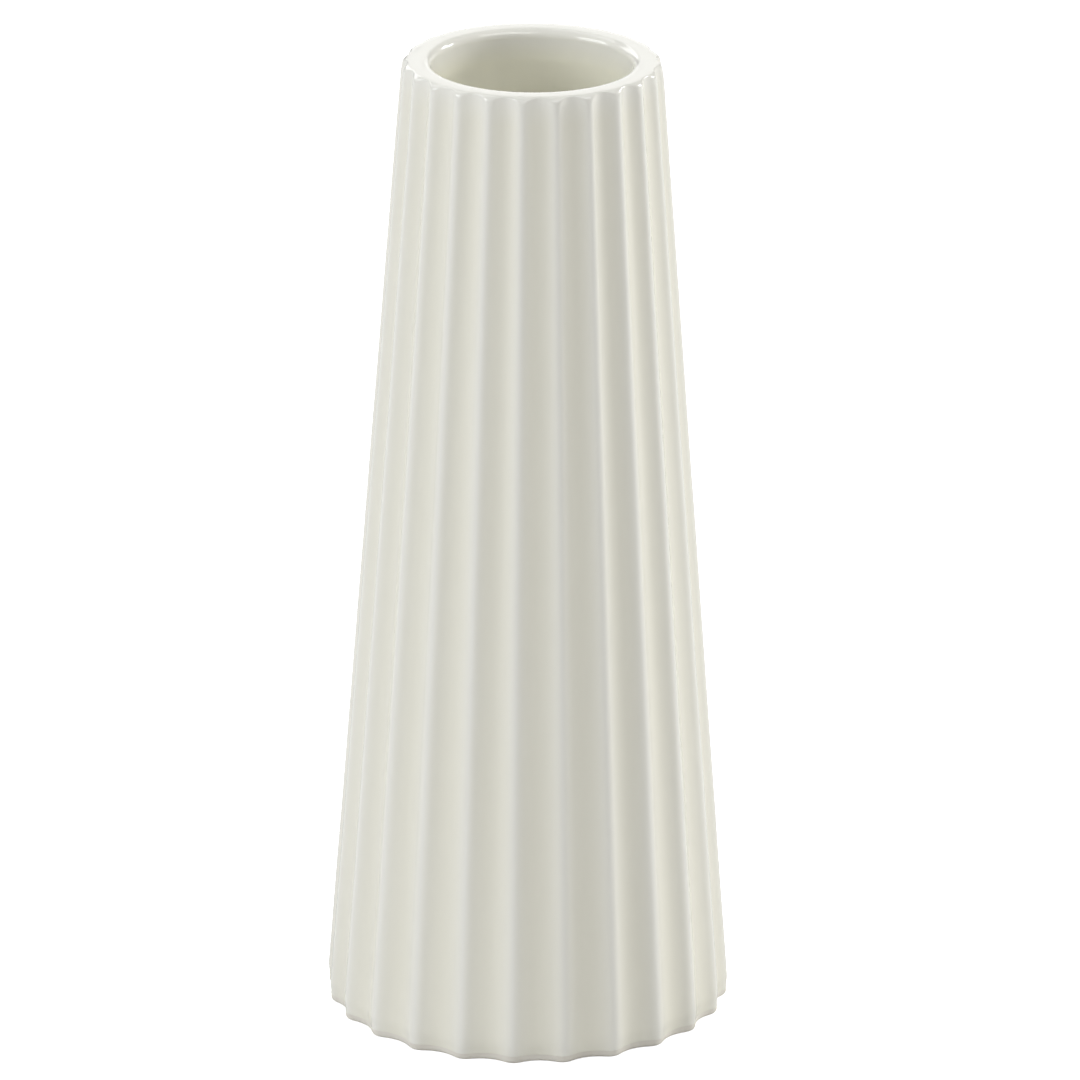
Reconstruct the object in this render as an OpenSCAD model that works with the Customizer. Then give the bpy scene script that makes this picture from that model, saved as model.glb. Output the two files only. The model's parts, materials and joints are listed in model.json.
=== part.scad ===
// Fluted porcelain bud vase: a tapering round vase whose outside is cut with
// upright concave flutes. It is one fired clay body with three coats of glaze
// fused to it: one outside, one lining the inside and one under the floor.
// The origin is the centre of the foot's standing plane and +Z is the vase's axis.

/* [Outside] */
// Height from the table to the top of the rim
height = 152; // [120:1:200]
// Diameter over the ridges at the foot
base_d = 63; // [56:0.5:80]
// Diameter over the ridges at the rim
rim_d = 39.7; // [34:0.1:50]

/* [Flutes] */
// Number of flutes round the vase
flute_count = 24; // [18:1:30]
// Depth of a flute at the foot
flute_depth = 1.15; // [0.8:0.05:1.8]
// Width of the ridge between two flutes at the foot
ridge_w = 1.2; // [0.8:0.1:2.5]

/* [Rim and mouth] */
// Thickness of the rim, from the ridges to the mouth
rim_w = 4.5; // [3.6:0.1:6]
// Rounding of the rim's outer edge
shoulder_r = 1.4; // [0.8:0.1:2]
// Rounding of the rim's inner edge
lip_r = 1.3; // [0.8:0.1:2]
// Length of the straight throat below the rounded lip
throat_l = 8; // [4:0.5:14]

/* [Wall and floor] */
// Thickness of the wall at the floor, from the ridges to the inside
wall = 4.3; // [3.6:0.1:6]
// Thickness of the floor above the foot recess
floor_t = 4.8; // [3.5:0.1:8]
// Radius of the inside corner between the wall and the floor
corner_r = 6; // [3:0.5:9]

/* [Foot] */
// Width of the ring that the vase stands on, from the ridges inwards
foot_w = 6; // [4:0.5:9]
// Rounding under the ends of the ridges
foot_r = 0.6; // [0.3:0.1:0.9]
// Height of the bare clay band round the outside of the foot
bare_h = 1; // [0.8:0.1:3]
// Depth of the recess under the floor
recess_depth = 2.2; // [1.5:0.1:3.5]
// How far the recess narrows from its edge to its roof
recess_draft = 1.2; // [0.5:0.1:2.5]
// Height of the bare clay band inside the recess
recess_bare_h = 0.8; // [0.4:0.1:1.1]

/* [Glaze] */
// Thickness of the glaze coats
glaze_t = 0.3; // [0.2:0.05:0.5]

/* [Hidden] */
$fn = 96;

clay_colour = "#E9E5DA";
glaze_colour = "#E4E3DA";
lining_colour = "#DCDACB";

// How far a cut runs past what it cuts
overrun = 2;
// Straight steps in each rounded edge of an outline
edge_steps = 6;

base_r = base_d / 2;
rim_r = rim_d / 2;
mouth_r = rim_r - rim_w;
wall_taper = (base_r - rim_r) / height;
wall_lean = atan(wall_taper);
top_share = rim_r / base_r;

// A rounding never takes more than this share of the rim's thickness
rounding_share = 0.45;
shoulder_round = min(shoulder_r, rim_w * rounding_share);
lip_round = min(lip_r, rim_w * rounding_share);
shoulder_z = height - shoulder_round;
shoulder_x = ridge_r(shoulder_z) - shoulder_round / cos(wall_lean);
lip_z = height - lip_round;
lip_x = mouth_r + lip_round;

floor_z = recess_depth + floor_t;
throat_z = lip_z - throat_l;
cavity_taper = (ridge_r(floor_z) - wall - mouth_r) / (throat_z - floor_z);
cavity_lean = atan(cavity_taper);
corner_z = floor_z + corner_r;
corner_x = cavity_r(corner_z) - corner_r / cos(cavity_lean);

recess_r = base_r - foot_w;
recess_lean = atan(recess_draft / recess_depth);

// The flute at the foot: its width, how deep it lies below the ridge's two
// edges, the radius of the round tool that cuts it and where that tool runs
flute_w = 2 * base_r * sin(180 / flute_count) - ridge_w;
flute_sink = flute_depth - base_r + sqrt(pow(base_r, 2) - pow(flute_w / 2, 2));
tool_r = (pow(flute_sink, 2) + pow(flute_w / 2, 2)) / (2 * flute_sink);
tool_x = base_r - flute_depth + tool_r;
tool_lean = atan(tool_x * (1 - top_share) / height);

// Radius over the ridges at height z, and of the inside below the throat
function ridge_r(z) = base_r - z * wall_taper;
function cavity_r(z) = mouth_r + (throat_z - z) * cavity_taper;

// Radius of the recess under the floor at height z, under a coat this thick
function recess_at(z, coat) =
    recess_r - recess_draft * z / recess_depth - coat / cos(recess_lean);

// Points along an arc round a centre, from one angle to another
function arc(centre, r, from, to) = [
    for (i = [0:edge_steps])
        let (a = from + (to - from) * i / edge_steps)
        centre + r * [cos(a), sin(a)]
];

// The rim's outer edge and the inside, each under a coat this thick. No coat
// gives the face of the glaze and a coat of glaze_t gives the face of the clay.
function shoulder_points(coat) =
    arc([shoulder_x, shoulder_z], shoulder_round - coat, wall_lean, 90);
function inside_points(coat) = concat(
    [[0, floor_z - coat]],
    arc([corner_x, corner_z], corner_r + coat, -90, cavity_lean),
    [[mouth_r + coat, throat_z + coat * tan(cavity_lean / 2)]],
    arc([lip_x, lip_z], lip_round - coat, 180, 90)
);
function reversed(points) = [for (i = [len(points) - 1:-1:0]) points[i]];

// The round tool that cuts one flute, as a cone that narrows towards the rim
module flute_tool(coat) {
    length = height / cos(tool_lean);
    thinning = tool_r * (1 - top_share) / length;
    translate([tool_x, 0, 0])
        rotate([0, -tool_lean, 0])
            translate([0, 0, -overrun])
                cylinder(
                    h = length + 2 * overrun,
                    r1 = tool_r + coat + thinning * overrun,
                    r2 = tool_r * top_share + coat - thinning * overrun
                );
}

module all_flutes(coat) {
    for (i = [0:flute_count - 1])
        rotate([0, 0, (i + 0.5) * 360 / flute_count])
            flute_tool(coat);
}

// The clay's outside as a full solid with a rounded foot
module clay_outside() {
    side_r = base_r - glaze_t / cos(wall_lean);
    foot_x = side_r - foot_r * (wall_taper + 1 / cos(wall_lean));
    difference() {
        rotate_extrude()
            polygon(concat(
                [[0, 0]],
                arc([foot_x, foot_r], foot_r, -90, wall_lean),
                shoulder_points(glaze_t),
                [[0, height - glaze_t]]
            ));
        all_flutes(glaze_t);
    }
}

// The glaze's outside as a full solid, cut off square above the bare foot
module glaze_outside() {
    difference() {
        rotate_extrude()
            polygon(concat(
                [[0, bare_h], [ridge_r(bare_h), bare_h]],
                shoulder_points(0),
                [[0, height]]
            ));
        all_flutes(0);
    }
}

// Fired clay: fluted wall, floor, rim and the bare ring that it stands on
module porcelain_body() {
    color(clay_colour)
        difference() {
            clay_outside();
            rotate_extrude()
                polygon(concat(
                    inside_points(glaze_t),
                    [[lip_x, height + overrun], [0, height + overrun]]
                ));
            rotate_extrude()
                polygon([
                    [0, -overrun],
                    [recess_at(-overrun, 0), -overrun],
                    [recess_at(recess_depth, 0), recess_depth],
                    [0, recess_depth]
                ]);
        }
}

// Sprayed coat over the flutes, the shoulder and the flat of the rim
module outer_glaze() {
    color(glaze_colour)
        difference() {
            glaze_outside();
            clay_outside();
            cylinder(h = height + overrun, r = lip_x);
        }
}

// Poured coat that lines the inside, from the lip's crown to the floor
module inner_glaze() {
    color(lining_colour)
        rotate_extrude()
            polygon(concat(inside_points(0), reversed(inside_points(glaze_t))));
}

// Coat in the recess under the floor, wiped back from the standing ring
module underside_glaze() {
    color(glaze_colour)
        rotate_extrude()
            polygon([
                [0, recess_depth],
                [recess_at(recess_depth, 0), recess_depth],
                [recess_at(recess_bare_h, 0), recess_bare_h],
                [recess_at(recess_bare_h, glaze_t), recess_bare_h],
                [recess_at(recess_depth - glaze_t, glaze_t), recess_depth - glaze_t],
                [0, recess_depth - glaze_t]
            ]);
}

porcelain_body();
outer_glaze();
inner_glaze();
underside_glaze();
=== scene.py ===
import json

import bpy
import numpy as np
from mathutils import Matrix, Vector


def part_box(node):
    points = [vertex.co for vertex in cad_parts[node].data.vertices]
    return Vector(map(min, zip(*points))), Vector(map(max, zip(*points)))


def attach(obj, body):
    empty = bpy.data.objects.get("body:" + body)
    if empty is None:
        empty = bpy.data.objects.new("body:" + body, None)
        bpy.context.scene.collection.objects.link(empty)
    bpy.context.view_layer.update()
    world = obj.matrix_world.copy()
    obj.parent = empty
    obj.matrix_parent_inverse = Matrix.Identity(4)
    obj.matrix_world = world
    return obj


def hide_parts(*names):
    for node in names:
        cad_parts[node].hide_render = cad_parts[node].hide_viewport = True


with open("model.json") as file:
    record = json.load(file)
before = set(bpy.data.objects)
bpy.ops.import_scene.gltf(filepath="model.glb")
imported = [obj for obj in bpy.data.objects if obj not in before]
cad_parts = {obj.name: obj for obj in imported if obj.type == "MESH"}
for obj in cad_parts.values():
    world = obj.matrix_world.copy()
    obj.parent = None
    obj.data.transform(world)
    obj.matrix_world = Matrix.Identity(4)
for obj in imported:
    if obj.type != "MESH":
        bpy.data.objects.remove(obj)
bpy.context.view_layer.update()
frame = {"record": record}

# The porcelain body
# One piece of slip-cast clay, fired hard and white: the fluted wall, the rim,
# the floor and the ring that it stands on. Only the foot is left bare of glaze.

mm_per_m = 1000
mouth = next(mount for mount in frame["record"]["mounts"] if mount["name"] == "mouth")
mouth_r = mouth["dims"]["r_mm"] / mm_per_m
half_throat = mouth["dims"]["length_mm"] / mm_per_m / 2
throat_z = mouth["pos_m"][2] - half_throat
lip_bottom_z = mouth["pos_m"][2] + half_throat
glaze_low, glaze_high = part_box("outer_glaze")
glaze_thickness = 0.0003
vase_height = glaze_high.z
bare_height = glaze_low.z

rim_width = 0.0045
rim_r = mouth_r + rim_width
wall_taper = (glaze_high.x - rim_r) / (vase_height - bare_height)
wall_lean = np.arctan(wall_taper)
shoulder_rounding = 0.0014
shoulder_reach = 0.0022
flute_end_blend = 0.0004
crown_slope = np.radians(10)
crown_rise = 0.00008
lip_rounding = vase_height - lip_bottom_z
crown_inner_r = mouth_r + lip_rounding * (1 - np.sin(crown_slope))

flute_count = 24
flute_depth = 0.00115
deeper_at_rim = 0.3
rounded_ridge_share = 0.3
steps_per_flute = 26
ridge_crowding = 0.55
unevenness = 0.00005
uneven_lengths = (0.061, 0.038, 0.023)
uneven_turns = (2, 3, 5)
wave_start = 1.7

floor_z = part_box("inner_glaze")[0].z + glaze_thickness
wall_at_floor = 0.0043
corner_rounding = 0.006
foot_width = 0.006
foot_rounding = 0.0006
side_start_z = 0.00078
side_rings = 34
ring_edge_rounding = 0.0005
recess_draft = 0.0012
recess_roof_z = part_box("underside_glaze")[1].z


def full_turn(steps_each):
    """Places round the vase, counted in flutes: even steps less a sine wave, so
    that they lie closer together at the ridges."""
    even = np.arange(flute_count * steps_each) / steps_each
    return even - ridge_crowding * np.sin(2 * np.pi * even) / (2 * np.pi)


def flute_shape(place):
    """Depth of the flutes from 0 on a ridge to 1 at the bottom. The ridge is one
    parabola, and the hollow another that leaves it at the same slope."""
    away = 2 * np.abs((place + 0.5) % 1 - 0.5)
    ridge = away**2 / rounded_ridge_share
    hollow = 1 - (1 - away) ** 2 / (1 - rounded_ridge_share)
    return np.where(away < rounded_ridge_share, ridge, hollow)


def ridge_r(z):
    """Radius over the ridges, a straight taper from the foot to the rim."""
    return rim_r + (vase_height - z) * wall_taper


def slow_wave(place, z, lengths, turns):
    """Unevenness from 0 to 1: a half and half the mean of sine waves, each with a
    length up the wall, whole turns round it and a start that follows its turns."""
    angle = place * 2 * np.pi / flute_count
    waves = [
        np.sin(2 * np.pi * z / length + turn * angle + wave_start * turn)
        for length, turn in zip(lengths, turns)
    ]
    return 0.5 + 0.5 * np.mean(waves, axis=0)


def glazed_r(place, z):
    """Radius of the glaze's face: the ridges' taper, times 1 - share * shape for
    the flutes, whose share of it grows evenly up to the rim, and less the slight
    unevenness of a cast wall."""
    depth_share = flute_depth / ridge_r(0) * (1 + deeper_at_rim * z / vase_height)
    fluted = ridge_r(z) * (1 - depth_share * flute_shape(place))
    return fluted - unevenness * slow_wave(place, z, uneven_lengths, uneven_turns)


def arc_rings(centre_r, centre_z, rounding, start, end, steps):
    """Rings along an arc of a section: the centre plus the rounding times the
    cosine and sine of an angle, which runs from start to end in radians."""
    angle = np.linspace(start, end, steps)[:, None]
    return centre_r + rounding * np.cos(angle), centre_z + rounding * np.sin(angle)


def line_rings(start, end, steps, ends=False):
    """Rings along a straight stretch of a section, start + (end - start) * share,
    with or without its two end points. Each is a (radius, height) pair."""
    share = np.linspace(0, 1, steps + 2)[:, None]
    if not ends:
        share = share[1:-1]
    return start[0] + (end[0] - start[0]) * share, start[1] + (end[1] - start[1]) * share


def stack_rings(stretches, place):
    """Joins stretches of (radii, heights) into two grids: rings by places round."""
    grids = [np.broadcast_arrays(*stretch, place[None, :]) for stretch in stretches]
    radii = np.concatenate([grid[0] for grid in grids])
    heights = np.concatenate([grid[1] for grid in grids])
    return radii, heights


def turned_skin(name, radii, heights, place, closed, sharp_rings=()):
    """A mesh from rings of points: the point at (radius, angle, height), with the
    angle its place in flutes. Either the last ring meets the first, or the first
    and the last each close on one point of the axis."""
    rings, count = radii.shape
    angle = place * 2 * np.pi / flute_count
    points = np.stack([radii * np.cos(angle), radii * np.sin(angle), heights], axis=-1)
    points = points.reshape(-1, 3)
    ring = np.arange(rings if closed else rings - 1)[:, None]
    step = np.arange(count)[None, :]
    after = (step + 1) % count
    above = (ring + 1) % rings
    corners = (
        ring * count + step,
        ring * count + after,
        above * count + after,
        above * count + step,
    )
    faces = np.stack(np.broadcast_arrays(*corners), axis=-1).reshape(-1, 4).tolist()
    if not closed:
        low_pole = np.full(count, rings * count)
        high_pole = low_pole + 1
        last = (rings - 1) * count
        points = np.vstack([points, [0, 0, heights[0].mean()], [0, 0, heights[-1].mean()]])
        faces += np.stack([low_pole, after[0], step[0]], axis=-1).tolist()
        faces += np.stack([high_pole, last + step[0], last + after[0]], axis=-1).tolist()
    mesh = bpy.data.meshes.new(name)
    mesh.from_pydata(points.tolist(), [], faces)
    mesh.shade_smooth()
    ends = np.empty(len(mesh.edges) * 2, dtype=np.int32)
    mesh.edges.foreach_get("vertices", ends)
    ring_of = ends.reshape(-1, 2) // count
    sharp = (ring_of[:, 0] == ring_of[:, 1]) & np.isin(ring_of[:, 0], sharp_rings)
    mesh.edges.foreach_set("use_edge_sharp", sharp)
    mesh.validate()
    piece = bpy.data.objects.new(name, mesh)
    bpy.context.scene.collection.objects.link(piece)
    return piece


def softer_min(first, second, blend):
    """The smaller of two radii, rounded off where they are within a blend of each
    other: min(a, b) - blend / 4 * (1 - |a - b| / blend)**2."""
    near = np.clip(1 - np.abs(first - second) / blend, 0, 1)
    return np.minimum(first, second) - near**2 * blend / 4


def shoulder_rings(coat, steps, place):
    """The turned rounding of the rim's outer edge under a coat this thick, as far
    as the flutes leave it: they run out into it just under the top."""
    centre_z = vase_height - crown_rise - shoulder_rounding * np.cos(crown_slope)
    centre_r = ridge_r(centre_z) - shoulder_rounding / np.cos(wall_lean)
    top = np.pi / 2 - crown_slope
    radii, heights = arc_rings(centre_r, centre_z, shoulder_rounding - coat, wall_lean, top, steps)
    return softer_min(radii, glazed_r(place[None, :], heights) - coat, flute_end_blend), heights


def crown_rings(coat, steps):
    """The top of the rim under a coat this thick, a slight dome: the height falls
    from the middle with the square of the way to either edge."""
    outer_r = rim_r - shoulder_rounding * (1 / np.cos(wall_lean) - np.sin(crown_slope))
    share = np.linspace(0, 1, steps + 2)[1:, None]
    heights = vase_height - coat - crown_rise * (2 * share - 1) ** 2
    return outer_r + (crown_inner_r - outer_r) * share, heights


def lining_r(z):
    """Radius of the lining below the throat, a straight taper to the floor."""
    floor_r = ridge_r(floor_z) - wall_at_floor
    return mouth_r + (throat_z - z) * (floor_r - mouth_r) / (throat_z - floor_z)


def inside_rings(coat, lip_steps, throat_steps, wall_steps, corner_steps):
    """The inside from the crown of the rim to the middle of the floor, under a
    coat this thick: the lip's arc, the throat, the wall, the corner and the floor."""
    lean = np.arctan((lining_r(floor_z) - mouth_r) / (throat_z - floor_z))
    lip_z = vase_height - crown_rise - lip_rounding * np.cos(crown_slope)
    lip_r = mouth_r + lip_rounding
    lip_top = np.pi / 2 + crown_slope
    corner_z = floor_z + corner_rounding
    corner_r = lining_r(corner_z) - corner_rounding / np.cos(lean)
    corner = arc_rings(corner_r, corner_z, corner_rounding + coat, lean, -np.pi / 2, corner_steps)
    throat_top = (mouth_r + coat, lip_z)
    throat_end = (mouth_r + coat, throat_z)
    return [
        arc_rings(lip_r, lip_z, lip_rounding - coat, lip_top, np.pi, lip_steps),
        line_rings(throat_top, throat_end, throat_steps),
        line_rings(throat_end, (corner[0][0], corner[1][0]), wall_steps),
        corner,
        line_rings((corner_r, floor_z - coat), (0, floor_z - coat), corner_steps),
    ]


place = full_turn(steps_per_flute)
recess_r = ridge_r(0) - foot_width
roof_r = recess_r - recess_draft
ring_inner_r = recess_r + ring_edge_rounding
foot_centre_r = glazed_r(place, foot_rounding)[None, :] - glaze_thickness - foot_rounding
wall_high_z = vase_height - shoulder_reach
side_z = np.geomspace(side_start_z, wall_high_z, side_rings)[:, None]
clay_stretches = [
    line_rings((0, recess_roof_z), (roof_r, recess_roof_z), steps=6),
    line_rings((roof_r, recess_roof_z), (recess_r, ring_edge_rounding), steps=3, ends=True),
    arc_rings(ring_inner_r, ring_edge_rounding, ring_edge_rounding, np.pi, 1.5 * np.pi, steps=5),
    line_rings((ring_inner_r, 0), (ring_inner_r + foot_width / 2, 0), steps=4),
    arc_rings(foot_centre_r, foot_rounding, foot_rounding, -np.pi / 2, 0, steps=7),
    (glazed_r(place[None, :], side_z) - glaze_thickness, side_z),
    shoulder_rings(glaze_thickness, steps=8, place=place),
    crown_rings(glaze_thickness, steps=4),
    *inside_rings(glaze_thickness, lip_steps=8, throat_steps=6, wall_steps=16, corner_steps=8),
]
clay = turned_skin("porcelain_body_clay", *stack_rings(clay_stretches, place), place, closed=False)


def node(tree, kind, **values):
    """Adds a shader node and sets its plain properties, or its inputs by name."""
    made = tree.nodes.new(kind)
    for name, value in values.items():
        if hasattr(made, name):
            setattr(made, name, value)
        else:
            made.inputs[name.replace("_", " ").title()].default_value = value
    return made


def new_material(name):
    """An empty material, with its tree and its shader."""
    material = bpy.data.materials.new(name)
    material.use_nodes = True
    tree = material.node_tree
    return material, tree, tree.nodes["Principled BSDF"]


clay_dark = (0.71, 0.675, 0.595, 1)
clay_light = (0.80, 0.775, 0.705, 1)
clay_sheen = 0.3
grain_height = 0.00006

clay_material, tree, shader = new_material("fired_clay")
shader.inputs["Specular IOR Level"].default_value = clay_sheen
where = node(tree, "ShaderNodeTexCoord")
grain = node(tree, "ShaderNodeTexNoise", scale=3200.0, detail=4.0, roughness=0.65)
patches = node(tree, "ShaderNodeTexNoise", scale=130.0, detail=3.0)
tint = node(tree, "ShaderNodeMix", data_type="RGBA")
tint.inputs["A"].default_value = clay_dark
tint.inputs["B"].default_value = clay_light
rough = node(tree, "ShaderNodeMapRange", to_min=0.62, to_max=0.86)
bump = node(tree, "ShaderNodeBump", distance=grain_height, strength=0.7)
tree.links.new(where.outputs["Object"], grain.inputs["Vector"])
tree.links.new(where.outputs["Object"], patches.inputs["Vector"])
tree.links.new(patches.outputs["Fac"], tint.inputs["Factor"])
tree.links.new(tint.outputs["Result"], shader.inputs["Base Color"])
tree.links.new(grain.outputs["Fac"], rough.inputs["Value"])
tree.links.new(rough.outputs["Result"], shader.inputs["Roughness"])
tree.links.new(grain.outputs["Fac"], bump.inputs["Height"])
tree.links.new(bump.outputs["Normal"], shader.inputs["Normal"])
clay.data.materials.append(clay_material)
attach(clay, "root")
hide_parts("porcelain_body")

# The outer glaze
# A clear, faintly ivory coat sprayed over the flutes, the shoulder and the rim. It
# lies thin and white on the ridges, warmer in the flutes, and thins out at the foot.

edge_thickness = 0.00006
glaze_run_out = 0.0022
glaze_line_wander = 0.0003
glaze_line_turns = (3, 7, 11, 17)
full_coat_margin = 0.00022
wall_rings = 62
rings_per_hidden_ring = 4
rim_thinning = 0.004


def glaze_line(place):
    """Height of the glaze's lower edge: the bare band and a wandering part of a
    millimetre on top, as a wiped edge has. The waves only turn, so at height 0
    their lengths count for nothing."""
    lengths = (1,) * len(glaze_line_turns)
    return bare_height + glaze_line_wander * slow_wave(place, 0, lengths, glaze_line_turns)


def edge_rings(steps, place):
    """The glaze's lower edge: from the clay out to a thin step, and then up to the
    full coat, which thickens with half a cosine wave of the height."""
    share = np.linspace(0, 1, steps)[:, None]
    swelling = (1 - np.cos(np.pi * share)) / 2
    thickness = np.vstack([[[0]], edge_thickness + (glaze_thickness - edge_thickness) * swelling])
    z = glaze_line(place)[None, :] + glaze_run_out * np.vstack([[[0]], share])
    return glazed_r(place[None, :], z) - glaze_thickness + thickness, z


wall_low_z = bare_height + glaze_line_wander + glaze_run_out + full_coat_margin
wall_z = np.linspace(wall_low_z, wall_high_z, wall_rings)[:, None]
hidden_z = wall_z[::rings_per_hidden_ring]
outer_stretches = [
    edge_rings(steps=8, place=place),
    (glazed_r(place[None, :], wall_z), wall_z),
    shoulder_rings(0, steps=18, place=place),
    crown_rings(0, steps=8),
]
hidden_stretches = [
    (glazed_r(place[None, :], hidden_z) - glaze_thickness, hidden_z),
    shoulder_rings(glaze_thickness, steps=6, place=place),
    crown_rings(glaze_thickness, steps=3),
]
face_radii, face_heights = stack_rings(outer_stretches, place)
hidden_radii, hidden_heights = stack_rings(hidden_stretches, place)
outer_radii = np.concatenate([face_radii, hidden_radii[::-1]])
outer_heights = np.concatenate([face_heights, hidden_heights[::-1]])
crown_edge = len(face_radii) - 1
outer_edges = (0, 1, crown_edge, crown_edge + 1)
outer = turned_skin("outer_glaze_coat", outer_radii, outer_heights, place, True, outer_edges)


def write_pooling(piece, values):
    """Keeps how thick the glaze lies at each point, from 0 to 1, for the material. A
    skin that closes on the axis gives each end the mean of the ring beside it."""
    data = piece.data.attributes.new("pooling", "FLOAT", "POINT").data
    depths = np.concatenate([np.ravel(values), values[[0, -1]].mean(axis=1)])
    data.foreach_set("value", depths[: len(data)].astype(np.float32))


rim_fade = np.clip((vase_height - outer_heights) / rim_thinning, 0, 1)
write_pooling(outer, np.sqrt(flute_shape(place)) * rim_fade)

noise_middle = 0.5
swell_share = 2.5

film = bpy.data.node_groups.new("glaze_film", "ShaderNodeTree")
for name, kind in (
    ("Thin Colour", "NodeSocketColor"),
    ("Deep Colour", "NodeSocketColor"),
    ("Pooling", "NodeSocketFloat"),
    ("Mottling", "NodeSocketFloat"),
    ("Ripple Height", "NodeSocketFloat"),
):
    film.interface.new_socket(name=name, in_out="INPUT", socket_type=kind)
for name, kind in (
    ("Colour", "NodeSocketColor"),
    ("Roughness", "NodeSocketFloat"),
    ("Normal", "NodeSocketVector"),
):
    film.interface.new_socket(name=name, in_out="OUTPUT", socket_type=kind)
given = node(film, "NodeGroupInput")
result = node(film, "NodeGroupOutput")
where = node(film, "ShaderNodeTexCoord")
clouds = node(film, "ShaderNodeTexNoise", scale=45.0, detail=3.0, roughness=0.55)
peel = node(film, "ShaderNodeTexNoise", scale=330.0, detail=1.5, roughness=0.45)
swell = node(film, "ShaderNodeTexNoise", scale=70.0, detail=1.0, roughness=0.4)
centred = node(film, "ShaderNodeMath", operation="SUBTRACT")
centred.inputs[1].default_value = noise_middle
mottled = node(film, "ShaderNodeMath", operation="MULTIPLY_ADD", use_clamp=True)
blend = node(film, "ShaderNodeMix", data_type="RGBA")
relief = node(film, "ShaderNodeMath", operation="MULTIPLY_ADD")
relief.inputs[1].default_value = swell_share
bump = node(film, "ShaderNodeBump", strength=1.0)
rough = node(film, "ShaderNodeMapRange", from_min=0.3, from_max=0.7, to_min=0.07, to_max=0.14)
links = film.links
for texture in (clouds, peel, swell):
    links.new(where.outputs["Object"], texture.inputs["Vector"])
links.new(clouds.outputs["Fac"], centred.inputs[0])
links.new(centred.outputs[0], mottled.inputs[0])
links.new(given.outputs["Mottling"], mottled.inputs[1])
links.new(given.outputs["Pooling"], mottled.inputs[2])
links.new(mottled.outputs[0], blend.inputs["Factor"])
links.new(given.outputs["Thin Colour"], blend.inputs["A"])
links.new(given.outputs["Deep Colour"], blend.inputs["B"])
links.new(blend.outputs["Result"], result.inputs["Colour"])
links.new(swell.outputs["Fac"], relief.inputs[0])
links.new(peel.outputs["Fac"], relief.inputs[2])
links.new(relief.outputs[0], bump.inputs["Height"])
links.new(given.outputs["Ripple Height"], bump.inputs["Distance"])
links.new(bump.outputs["Normal"], result.inputs["Normal"])
links.new(clouds.outputs["Fac"], rough.inputs["Value"])
links.new(rough.outputs["Result"], result.inputs["Roughness"])

thin_glaze = (0.862, 0.853, 0.786)
pooled_glaze = (0.842, 0.823, 0.712)
glaze_ior = 1.5


def glaze_material(name, deep_colour, mottling, ripple_height):
    """A glossy glaze whose colour deepens where the coat has pooled."""
    material, tree, shader = new_material(name)
    shader.inputs["IOR"].default_value = glaze_ior
    pooled = node(tree, "ShaderNodeAttribute", attribute_name="pooling")
    coat = node(tree, "ShaderNodeGroup", node_tree=film)
    coat.inputs["Thin Colour"].default_value = (*thin_glaze, 1)
    coat.inputs["Deep Colour"].default_value = (*deep_colour, 1)
    coat.inputs["Mottling"].default_value = mottling
    coat.inputs["Ripple Height"].default_value = ripple_height
    tree.links.new(pooled.outputs["Fac"], coat.inputs["Pooling"])
    tree.links.new(coat.outputs["Colour"], shader.inputs["Base Color"])
    tree.links.new(coat.outputs["Roughness"], shader.inputs["Roughness"])
    tree.links.new(coat.outputs["Normal"], shader.inputs["Normal"])
    return material


ivory = glaze_material("ivory_glaze", pooled_glaze, mottling=0.25, ripple_height=0.00002)
outer.data.materials.append(ivory)
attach(outer, "root")
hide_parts("outer_glaze")

# The lining
# The same glaze poured in and out again, so that the vase holds water. It coats
# the lip, the throat and the floor, with faint rings where it drained.

lining_pooled = (0.85, 0.836, 0.71)
hidden_pooling = 0.5
drain_rings_depth = 0.00004
drain_lengths = (0.0024, 0.0041, 0.0093)
drain_turns = (1, 0, 2)
drain_start = 0.002
drain_fade = 0.003

lining_place = full_turn(steps_each=10)
lining_steps = {"lip_steps": 12, "throat_steps": 40, "wall_steps": 40, "corner_steps": 12}
back_radii, back_heights = stack_rings(inside_rings(glaze_thickness, **lining_steps), lining_place)
face_radii, face_heights = stack_rings(inside_rings(0, **lining_steps), lining_place)
lining_radii = np.concatenate([back_radii[::-1], face_radii])
lining_heights = np.concatenate([back_heights[::-1], face_heights])
face_start = len(back_radii)
on_face = np.arange(len(lining_radii))[:, None] >= face_start
on_wall = lining_heights > floor_z + corner_rounding
drained = slow_wave(lining_place, lining_heights, drain_lengths, drain_turns)
depth = np.clip((vase_height - drain_start - lining_heights) / drain_fade, 0, 1)
lining_radii += np.where(on_face & on_wall, drain_rings_depth * drained * depth, 0)
lining_edges = (face_start - 1, face_start)
lining = turned_skin(
    "inner_glaze_lining", lining_radii, lining_heights, lining_place, False, lining_edges
)
write_pooling(lining, np.where(on_face, depth, hidden_pooling))
poured = glaze_material("lining_glaze", lining_pooled, mottling=0.35, ripple_height=0.00003)
lining.data.materials.append(poured)
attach(lining, "root")
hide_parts("inner_glaze")

# The glaze under the floor
# A patch of the same glaze in the shallow recess inside the standing ring,
# wiped back from the ring so that it can't stick to the kiln's shelf.

patch_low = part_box("underside_glaze")[0].z
patch_corner = 0.0006
patch_edge_thickness = 0.0001
patch_pooling = 0.6
recess_slope = recess_draft / recess_roof_z


def recess_wall(z, coat):
    """Radius of the recess's wall at a height, under a coat this thick."""
    return recess_r - recess_slope * z - coat / np.cos(np.arctan(recess_slope))


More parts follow.
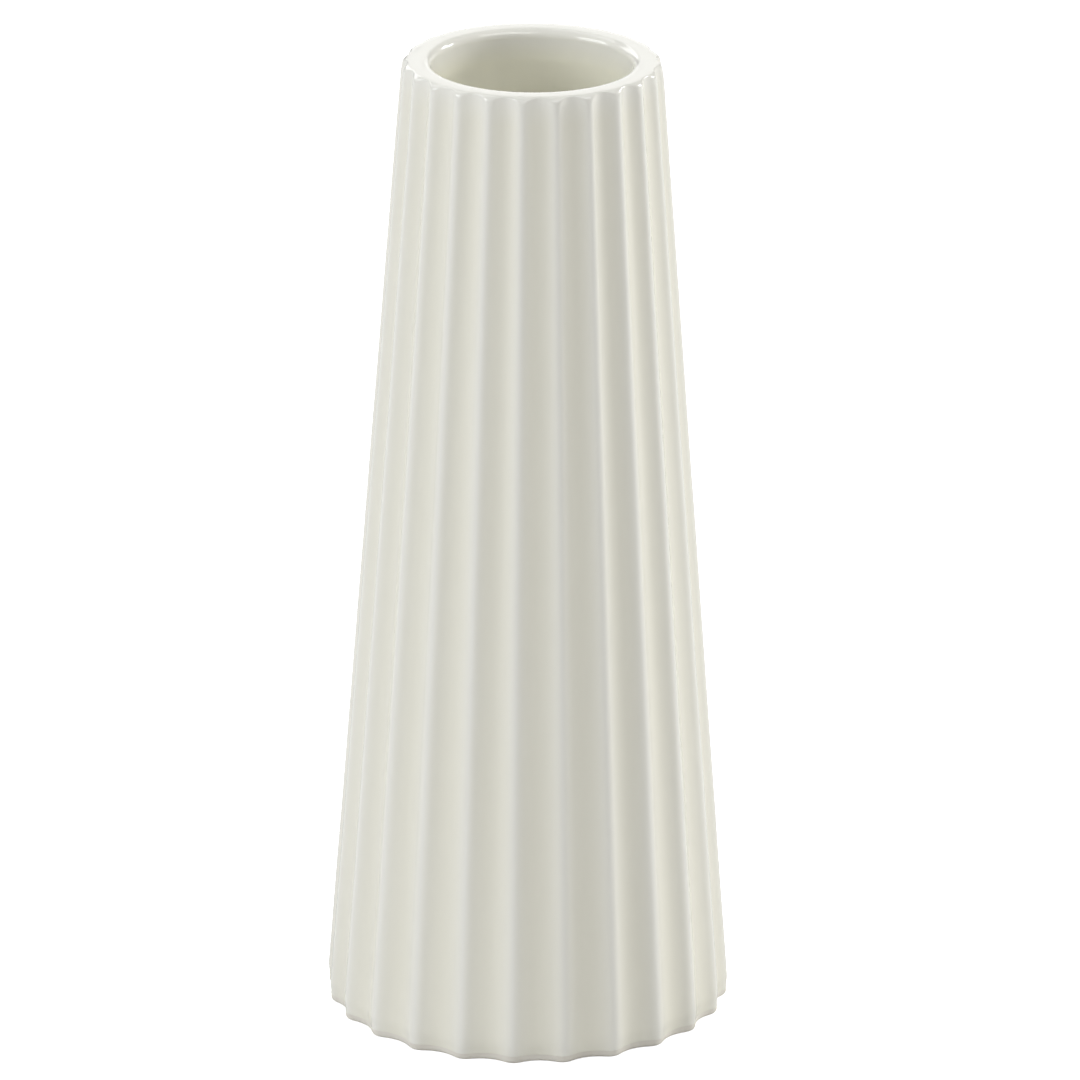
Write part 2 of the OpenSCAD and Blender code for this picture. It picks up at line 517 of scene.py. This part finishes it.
patch_place = full_turn(steps_each=8)
fillet_z = recess_roof_z - glaze_thickness - patch_corner
fillet_r = recess_wall(fillet_z, glaze_thickness) - patch_corner
patch_z = fillet_z + patch_corner
patch_edge = (recess_wall(patch_low, patch_edge_thickness), patch_low)
patch_face = [
    line_rings((0, patch_z), (fillet_r, patch_z), steps=8),
    arc_rings(fillet_r, fillet_z, patch_corner, np.pi / 2, 0, steps=6),
    line_rings((fillet_r + patch_corner, fillet_z), patch_edge, steps=4),
]
patch_back = [
    line_rings((recess_wall(patch_low, 0), patch_low), (roof_r, recess_roof_z), steps=2, ends=True),
    line_rings((roof_r, recess_roof_z), (0, recess_roof_z), steps=4),
]
patch_radii, patch_heights = stack_rings(patch_face + patch_back, patch_place)
back_start = sum(len(radii) for radii, heights in patch_face)
patch_edges = (back_start - 1, back_start)
patch = turned_skin(
    "underside_glaze_patch", patch_radii, patch_heights, patch_place, False, patch_edges
)
write_pooling(patch, np.full(patch_radii.shape, patch_pooling))
wiped = glaze_material("underside_glaze", pooled_glaze, mottling=0.5, ripple_height=0.00004)
patch.data.materials.append(wiped)
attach(patch, "root")
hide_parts("underside_glaze")

# The table and the light
# A plain white floor under seven soft lights: a wide cool one on the left, one on the
# right and one on the left behind, two screens right behind, and two panels overhead.

floor_size = 30.0
floor_lift = 0.75
floor_white = (0.8, 0.8, 0.8, 1)
white = (1, 1, 1, 1)
room_glow = 0.02
softbox_distance = 2.2

floor_mesh = bpy.data.meshes.new("floor")
half = floor_size / 2
floor_corners = [(-half, -half, 0), (half, -half, 0), (half, half, 0), (-half, half, 0)]
floor_mesh.from_pydata(floor_corners, [], [(0, 1, 2, 3)])
floor = bpy.data.objects.new("floor", floor_mesh)
bpy.context.scene.collection.objects.link(floor)
floor_material, tree, shader = new_material("floor_white")
shader.inputs["Base Color"].default_value = floor_white
shader.inputs["Roughness"].default_value = 1.0
shader.inputs["Specular IOR Level"].default_value = 0.0
shader.inputs["Emission Color"].default_value = white
seen = node(tree, "ShaderNodeLightPath")
lifted = node(tree, "ShaderNodeMath", operation="MULTIPLY")
lifted.inputs[1].default_value = floor_lift
tree.links.new(seen.outputs["Is Camera Ray"], lifted.inputs[0])
tree.links.new(lifted.outputs[0], shader.inputs["Emission Strength"])
floor_mesh.materials.append(floor_material)

aim = Vector((0, 0, vase_height / 2))


def softbox(name, azimuth, elevation, size, brightness, tint=(1, 1, 1)):
    """An area light at an azimuth from the front and an elevation, facing the
    vase. Its power is its brightness times its area times pi."""
    data = bpy.data.lights.new(name, "AREA")
    data.color = tint
    data.shape = "RECTANGLE"
    data.size, data.size_y = size
    data.energy = brightness * size[0] * size[1] * np.pi
    turn, lift = np.radians((azimuth, elevation))
    towards = Vector((np.sin(turn) * np.cos(lift), -np.cos(turn) * np.cos(lift), np.sin(lift)))
    turned = towards.to_track_quat("Z", "Y").to_matrix().to_4x4()
    lamp = bpy.data.objects.new(name, data)
    lamp.matrix_world = Matrix.Translation(aim + softbox_distance * towards) @ turned
    lamp.visible_camera = False
    bpy.context.scene.collection.objects.link(lamp)


softbox("left_softbox", -70, 25, (1.5, 1.0), brightness=6.0, tint=(0.95, 0.965, 1.0))
softbox("right_softbox", 118, 22, (0.75, 0.6), brightness=18.1)
softbox("left_back_softbox", -143, 24, (1.5, 0.7), brightness=2.7)
softbox("low_back_screen", 180, 9, (1.1, 0.6), brightness=1.25)
softbox("high_back_screen", 180, 25, (1.1, 0.6), brightness=1.2)
softbox("back_overhead_softbox", -140, 55, (1.2, 1.0), brightness=1.6)
softbox("front_overhead_softbox", 42, 55, (2.1, 1.0), brightness=3.9)

world = bpy.data.worlds.new("studio")
bpy.context.scene.world = world
world.use_nodes = True
tree = world.node_tree
room = tree.nodes["Background"]
room.inputs["Color"].default_value = white
room.inputs["Strength"].default_value = room_glow
backdrop = node(tree, "ShaderNodeBackground")
backdrop.inputs["Color"].default_value = white
seen = node(tree, "ShaderNodeLightPath")
either = node(tree, "ShaderNodeMixShader")
tree.links.new(seen.outputs["Is Camera Ray"], either.inputs["Fac"])
tree.links.new(room.outputs["Background"], either.inputs[1])
tree.links.new(backdrop.outputs["Background"], either.inputs[2])
tree.links.new(either.outputs["Shader"], tree.nodes["World Output"].inputs["Surface"])
bpy.context.scene.view_settings.view_transform = "Standard"

# The camera
# A long lens a metre and a half away, looking down at the vase from a little to
# the right of one of its ridges, and tipped by a third of a degree.

image_width_px = 1080
focal_length_px = 10083
axis_left_of_middle_px = 10.2
sensor_width_mm = 36
camera_azimuth = np.radians(4.2)
camera_elevation = np.radians(20.11)
camera_roll = np.radians(0.31)
camera_distance = 10.22 * vase_height
looked_at = Vector((0, 0, 0.49 * vase_height))

level = Vector((np.cos(camera_azimuth), np.sin(camera_azimuth), 0))
forward = Vector((-np.sin(camera_azimuth), np.cos(camera_azimuth), 0))
back = Vector((0, 0, np.sin(camera_elevation))) - forward * np.cos(camera_elevation)
upright = back.cross(level)
right = level * np.cos(camera_roll) + upright * np.sin(camera_roll)
up = back.cross(right)
sideways = camera_distance * axis_left_of_middle_px / focal_length_px
camera_data = bpy.data.cameras.new("camera")
camera_data.sensor_width = sensor_width_mm
camera_data.lens = sensor_width_mm * focal_length_px / image_width_px
camera = bpy.data.objects.new("camera", camera_data)
camera.matrix_world = Matrix((right, up, back)).transposed().to_4x4()
camera.location = looked_at + back * camera_distance + right * sideways
bpy.context.scene.collection.objects.link(camera)
bpy.context.scene.camera = camera
